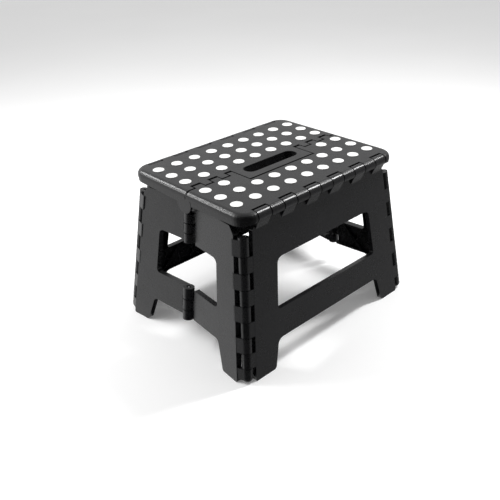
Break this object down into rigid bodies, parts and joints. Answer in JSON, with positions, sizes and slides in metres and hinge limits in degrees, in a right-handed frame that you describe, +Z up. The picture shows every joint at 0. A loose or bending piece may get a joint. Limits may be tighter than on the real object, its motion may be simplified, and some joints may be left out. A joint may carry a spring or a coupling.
{
  "type": "folding step stool",
  "caption": "Low folding step stool with a dotted non-slip deck, a carry slot, two splayed side panels and hinged end panels that fold inward flat.",
  "frame": {"origin": "on the floor under the middle of the deck, stool unfolded", "axes": "+X along the deck and its long hinges, +Y from the front side panel to the back one, +Z up"},
  "size_m": [0.3284, 0.2542, 0.22],
  "materials": {
    "deck_plastic": "satin moulded, finely textured top",
    "side_plastic": "satin moulded",
    "end_plastic": "satin moulded",
    "grip_rubber": "matte soft grip",
    "pin_steel": "drawn wire"
  },
  "bodies": {
    "front_side": {"front_panel": "side_plastic", "edge_pin_front": "pin_steel", "corner_pin_front_left": "pin_steel", "corner_pin_front_right": "pin_steel"},
    "deck_front": {"deck_front": "deck_plastic", "dots_front": "grip_rubber", "seam_pin_left": "pin_steel", "seam_pin_right": "pin_steel"},
    "deck_back": {"deck_back": "deck_plastic", "dots_back": "grip_rubber"},
    "back_side": {"back_panel": "side_plastic", "edge_pin_back": "pin_steel", "corner_pin_back_left": "pin_steel", "corner_pin_back_right": "pin_steel"},
    "left_front_end": {"left_end_front": "end_plastic", "mid_pin_left_upper": "pin_steel", "mid_pin_left_lower": "pin_steel"},
    "left_back_end": {"left_end_back": "end_plastic"},
    "right_front_end": {"right_end_front": "end_plastic", "mid_pin_right_upper": "pin_steel", "mid_pin_right_lower": "pin_steel"},
    "right_back_end": {"right_end_back": "end_plastic"}
  },
  "joints": [
    {"name": "fold", "type": "hinge", "parent": "front_side", "child": "deck_front", "pos_m": [0, -0.103, 0.212], "axis": [1, 0, 0], "range_deg": [0, 77]},
    {"name": "deck_seam", "type": "hinge", "parent": "deck_front", "child": "deck_back", "pos_m": [0, 0, 0.203], "axis": [1, 0, 0], "range_deg": [-168, 0]},
    {"name": "back_edge", "type": "hinge", "parent": "deck_back", "child": "back_side", "pos_m": [0, 0.103, 0.212], "axis": [1, 0, 0], "range_deg": [0, 78]},
    {"name": "left_front_corner", "type": "hinge", "parent": "front_side", "child": "left_front_end", "pos_m": [-0.154, -0.12, 0], "axis": [-0.1175, -0.121, -0.9857], "range_deg": [0, 84.5]},
    {"name": "right_front_corner", "type": "hinge", "parent": "front_side", "child": "right_front_end", "pos_m": [0.154, -0.12, 0], "axis": [-0.1175, 0.121, 0.9857], "range_deg": [0, 84.5]},
    {"name": "left_back_corner", "type": "hinge", "parent": "back_side", "child": "left_back_end", "pos_m": [-0.154, 0.12, 0], "axis": [0.1175, -0.121, 0.9857], "range_deg": [0, 84.5]},
    {"name": "right_back_corner", "type": "hinge", "parent": "back_side", "child": "right_back_end", "pos_m": [0.154, 0.12, 0], "axis": [0.1175, 0.121, -0.9857], "range_deg": [0, 84.5]}
  ],
  "couplings": [
    {"joint": "deck_seam", "follows": "fold", "ratio": -2.162},
    {"joint": "back_edge", "follows": "fold", "ratio": 1},
    {"joint": "left_front_corner", "follows": "fold", "ratio": 1.083},
    {"joint": "right_front_corner", "follows": "fold", "ratio": 1.083},
    {"joint": "left_back_corner", "follows": "fold", "ratio": 1.083},
    {"joint": "right_back_corner", "follows": "fold", "ratio": 1.083}
  ]
}
